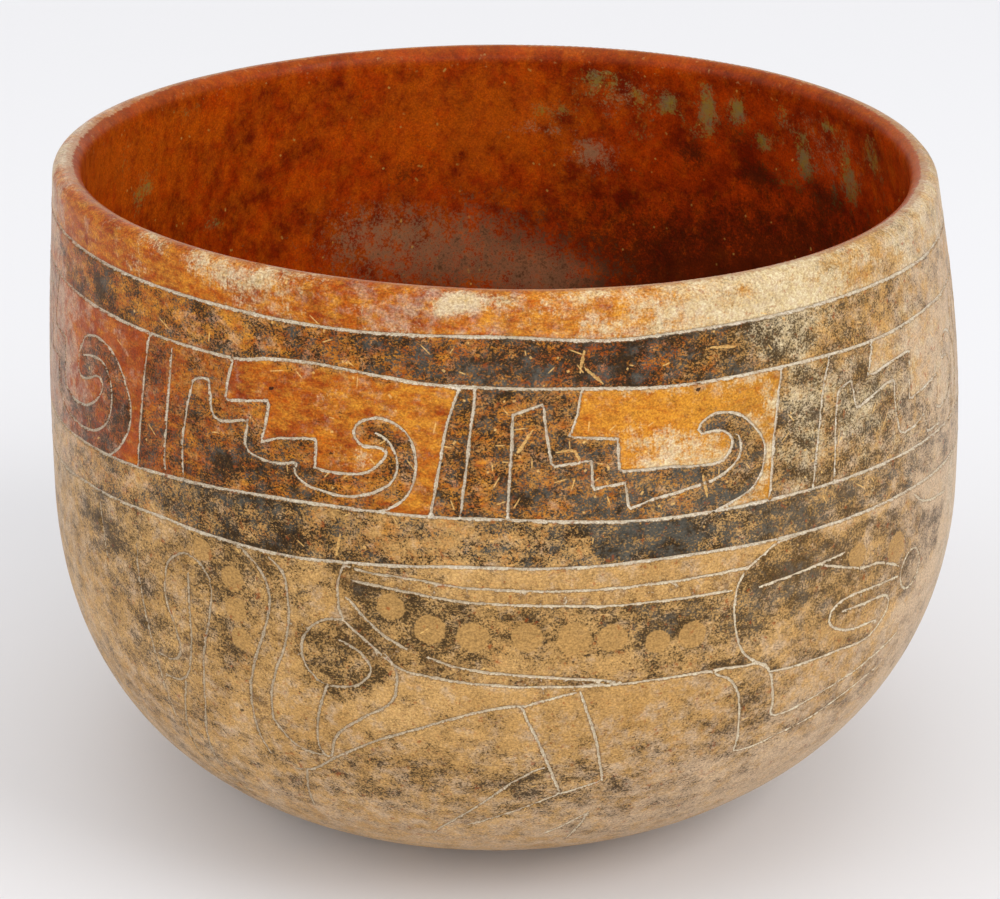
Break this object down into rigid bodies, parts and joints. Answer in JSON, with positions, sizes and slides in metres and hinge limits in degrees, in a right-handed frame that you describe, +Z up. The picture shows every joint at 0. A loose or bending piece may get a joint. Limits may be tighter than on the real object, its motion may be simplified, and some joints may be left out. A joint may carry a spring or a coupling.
{
  "type": "pottery bowl",
  "caption": "Round-bottomed deep pottery bowl with an inturned rounded lip, encircling incised bands, a step-fret frieze and an incised drawing under it.",
  "frame": {"origin": "on the table under the middle of the belly, on the flat that the bowl rests on", "axes": "+Z up along the bowl's axis, -Y towards the side that is seen, +X to its right"},
  "size_m": [0.165, 0.165, 0.1182],
  "materials": {
    "fired_clay": "burnished orange, red and black slips worn through to buff clay, satin outside and red-brown inside"
  },
  "bodies": {
    "root": {"bowl": "fired_clay"}
  },
  "joints": []
}
